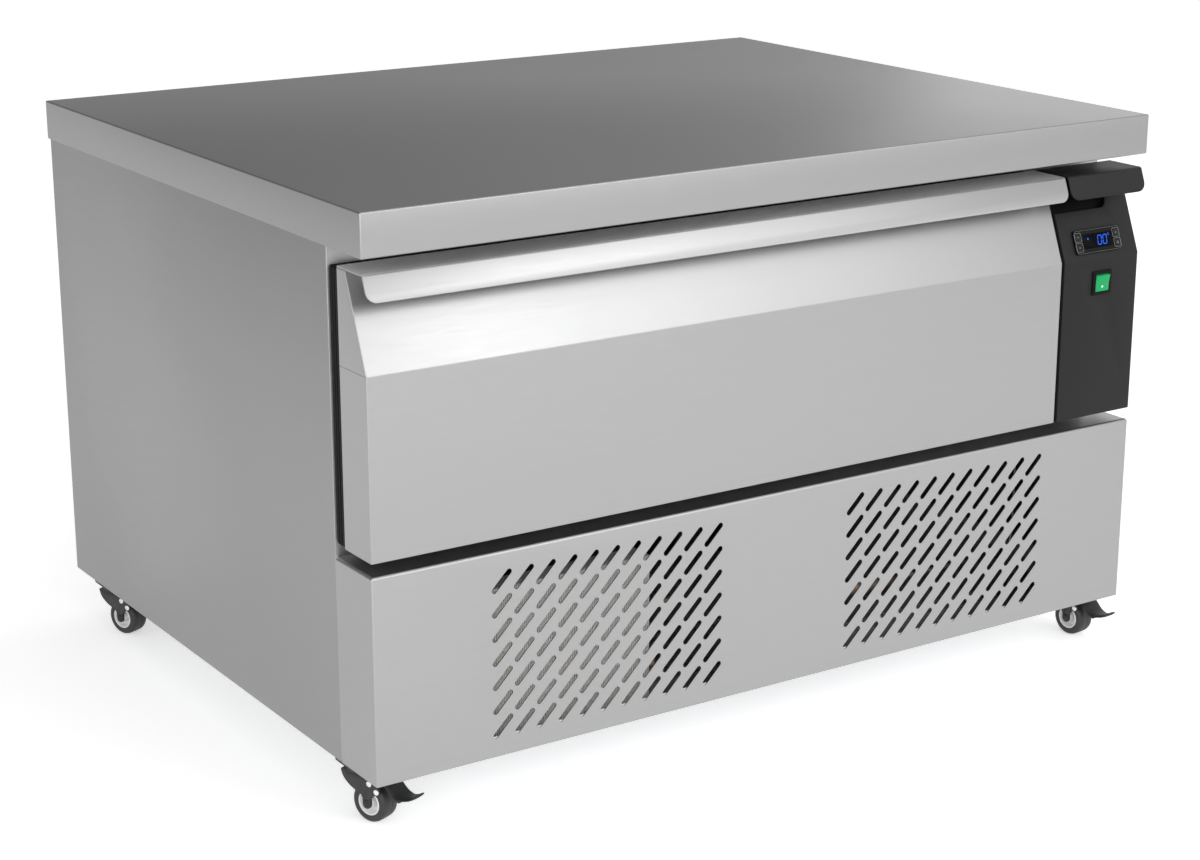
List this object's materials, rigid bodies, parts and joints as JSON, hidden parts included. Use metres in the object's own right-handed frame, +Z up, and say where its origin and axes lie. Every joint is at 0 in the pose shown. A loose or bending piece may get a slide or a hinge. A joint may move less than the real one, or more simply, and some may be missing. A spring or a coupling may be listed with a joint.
{
  "type": "refrigerated chef base",
  "caption": "Low stainless counter fridge on braked castors: flat worktop, wide insulated drawer with an angled front and folded grip, black control fascia and a vented base panel.",
  "frame": {"origin": "on the floor under the middle of the overall box", "axes": "+X to the right along the front, +Y to the back, +Z up; the drawer and the controls face -Y"},
  "size_m": [0.9, 0.7, 0.57],
  "materials": {
    "steel_top": "brushed, hairlines along the width",
    "steel_front": "brushed, hairlines along the width",
    "steel_sheet": "brushed",
    "zinc_sheet": "dull zinc coat",
    "zinc_steel": "bright zinc coat",
    "board": "bare board",
    "foam": "cut foam",
    "black_plastic": "fine texture",
    "display": "smooth, dark",
    "green_rocker": "translucent green",
    "rubber": "matt",
    "fins": "thin fins",
    "fan_plastic": "moulded",
    "motor_grey": "dark paint",
    "black_enamel": "gloss enamel",
    "copper": "drawn copper",
    "grey_plastic": "moulded",
    "castor_black": "dark coat",
    "rim_grey": "moulded",
    "tyre": "soft rubber"
  },
  "bodies": {
    "cabinet": {"worktop": "steel_top", "worktop_core": "board", "side_panel_left": "steel_sheet", "side_panel_right": "steel_sheet", "back_panel": "zinc_sheet", "base_tray": "zinc_sheet", "cabinet_floor": "zinc_sheet", "insulation": "foam", "inner_liner": "steel_sheet", "front_frame": "steel_sheet", "vented_panel": "steel_front", "control_fascia": "black_plastic", "controller_case": "black_plastic", "controller_window": "display", "switch_housing": "black_plastic", "runner_outers": "zinc_steel", "evaporator_cover": "steel_sheet", "evaporator_coil": "fins", "condenser_coil": "fins", "fan_shroud": "fan_plastic", "fan_motors": "motor_grey", "compressor": "black_enamel", "compressor_mounts": "rubber", "refrigerant_pipes": "copper", "electrical_box": "grey_plastic", "mains_inlet": "black_plastic", "drip_tray": "fan_plastic", "castor_plates": "castor_black", "screws": "zinc_steel"},
    "drawer": {"drawer_front": "steel_front", "drawer_foam": "foam", "drawer_inner_skin": "steel_sheet", "drawer_handle": "steel_front", "drawer_gasket": "rubber", "drawer_frame": "steel_sheet", "runner_inners": "zinc_steel"},
    "middle_runners": {"runner_middles": "zinc_steel"},
    "rocker": {"switch_rocker": "green_rocker"},
    "button_1": {"controller_button_1": "black_plastic"},
    "button_2": {"controller_button_2": "black_plastic"},
    "button_3": {"controller_button_3": "black_plastic"},
    "button_4": {"controller_button_4": "black_plastic"},
    "condenser_fan_wheel": {"condenser_fan": "fan_plastic"},
    "evaporator_fan_wheel": {"evaporator_fan": "fan_plastic"},
    "castor_fork_front_left": {"fork_front_left": "castor_black"},
    "castor_wheel_front_left": {"rim_front_left": "rim_grey", "tyre_front_left": "tyre"},
    "castor_pedal_front_left": {"pedal_front_left": "castor_black"},
    "castor_fork_front_right": {"fork_front_right": "castor_black"},
    "castor_wheel_front_right": {"rim_front_right": "rim_grey", "tyre_front_right": "tyre"},
    "castor_pedal_front_right": {"pedal_front_right": "castor_black"},
    "castor_fork_rear_left": {"fork_rear_left": "castor_black"},
    "castor_wheel_rear_left": {"rim_rear_left": "rim_grey", "tyre_rear_left": "tyre"},
    "castor_pedal_rear_left": {"pedal_rear_left": "castor_black"},
    "castor_fork_rear_right": {"fork_rear_right": "castor_black"},
    "castor_wheel_rear_right": {"rim_rear_right": "rim_grey", "tyre_rear_right": "tyre"},
    "castor_pedal_rear_right": {"pedal_rear_right": "castor_black"}
  },
  "joints": [
    {"name": "drawer_slide", "type": "slide", "parent": "cabinet", "child": "drawer", "axis": [0, -1, 0], "range_m": [0, 0.54]},
    {"name": "middle_runner_slide", "type": "slide", "parent": "cabinet", "child": "middle_runners", "axis": [0, -1, 0], "range_m": [0, 0.27]},
    {"name": "rocker_hinge", "type": "hinge", "parent": "cabinet", "child": "rocker", "pos_m": [0.398, -0.3395, 0.4025], "axis": [-1, 0, 0], "range_deg": [0, 12]},
    {"name": "button_1_press", "type": "slide", "parent": "cabinet", "child": "button_1", "axis": [0, 0.9281, -0.3723], "range_m": [0, 0.0008]},
    {"name": "button_2_press", "type": "slide", "parent": "cabinet", "child": "button_2", "axis": [0, 0.9281, -0.3723], "range_m": [0, 0.0008]},
    {"name": "button_3_press", "type": "slide", "parent": "cabinet", "child": "button_3", "axis": [0, 0.9281, -0.3723], "range_m": [0, 0.0008]},
    {"name": "button_4_press", "type": "slide", "parent": "cabinet", "child": "button_4", "axis": [0, 0.9281, -0.3723], "range_m": [0, 0.0008]},
    {"name": "condenser_fan_spin", "type": "hinge", "parent": "cabinet", "child": "condenser_fan_wheel", "pos_m": [-0.24, -0.2804, 0.131], "axis": [0, 1, 0], "continuous": true},
    {"name": "evaporator_fan_spin", "type": "hinge", "parent": "cabinet", "child": "evaporator_fan_wheel", "pos_m": [0.3285, -0.12, 0.358], "axis": [1, 0, 0], "continuous": true},
    {"name": "castor_swivel_front_left", "type": "hinge", "parent": "cabinet", "child": "castor_fork_front_left", "pos_m": [-0.43, -0.282, 0.0493], "axis": [0, 0, 1], "continuous": true},
    {"name": "castor_roll_front_left", "type": "hinge", "parent": "castor_fork_front_left", "child": "castor_wheel_front_left", "pos_m": [-0.42421, -0.29584, 0.019], "axis": [0.9225, 0.3859, 0], "continuous": true},
    {"name": "brake_pedal_front_left", "type": "hinge", "parent": "castor_fork_front_left", "child": "castor_pedal_front_left", "pos_m": [-0.42537, -0.29307, 0.0439], "axis": [0.9225, 0.3859, 0], "range_deg": [0, 12]},
    {"name": "castor_swivel_front_right", "type": "hinge", "parent": "cabinet", "child": "castor_fork_front_right", "pos_m": [0.43, -0.282, 0.0493], "axis": [0, 0, 1], "continuous": true},
    {"name": "castor_roll_front_right", "type": "hinge", "parent": "castor_fork_front_right", "child": "castor_wheel_front_right", "pos_m": [0.43149, -0.29693, 0.019], "axis": [0.9951, 0.0993, 0], "continuous": true},
    {"name": "brake_pedal_front_right", "type": "hinge", "parent": "castor_fork_front_right", "child": "castor_pedal_front_right", "pos_m": [0.43119, -0.29394, 0.0439], "axis": [0.9951, 0.0993, 0], "range_deg": [0, 12]},
    {"name": "castor_swivel_rear_left", "type": "hinge", "parent": "cabinet", "child": "castor_fork_rear_left", "pos_m": [-0.43, 0.28, 0.0493], "axis": [0, 0, 1], "continuous": true},
    {"name": "castor_roll_rear_left", "type": "hinge", "parent": "castor_fork_rear_left", "child": "castor_wheel_rear_left", "pos_m": [-0.42421, 0.26616, 0.019], "axis": [0.9225, 0.3859, 0], "continuous": true},
    {"name": "brake_pedal_rear_left", "type": "hinge", "parent": "castor_fork_rear_left", "child": "castor_pedal_rear_left", "pos_m": [-0.42537, 0.26893, 0.0439], "axis": [0.9225, 0.3859, 0], "range_deg": [0, 12]},
    {"name": "castor_swivel_rear_right", "type": "hinge", "parent": "cabinet", "child": "castor_fork_rear_right", "pos_m": [0.43, 0.28, 0.0493], "axis": [0, 0, 1], "continuous": true},
    {"name": "castor_roll_rear_right", "type": "hinge", "parent": "castor_fork_rear_right", "child": "castor_wheel_rear_right", "pos_m": [0.43149, 0.26507, 0.019], "axis": [0.9951, 0.0993, 0], "continuous": true},
    {"name": "brake_pedal_rear_right", "type": "hinge", "parent": "castor_fork_rear_right", "child": "castor_pedal_rear_right", "pos_m": [0.43119, 0.26806, 0.0439], "axis": [0.9951, 0.0993, 0], "range_deg": [0, 12]}
  ],
  "couplings": [
    {"joint": "middle_runner_slide", "follows": "drawer_slide", "ratio": 0.5}
  ]
}
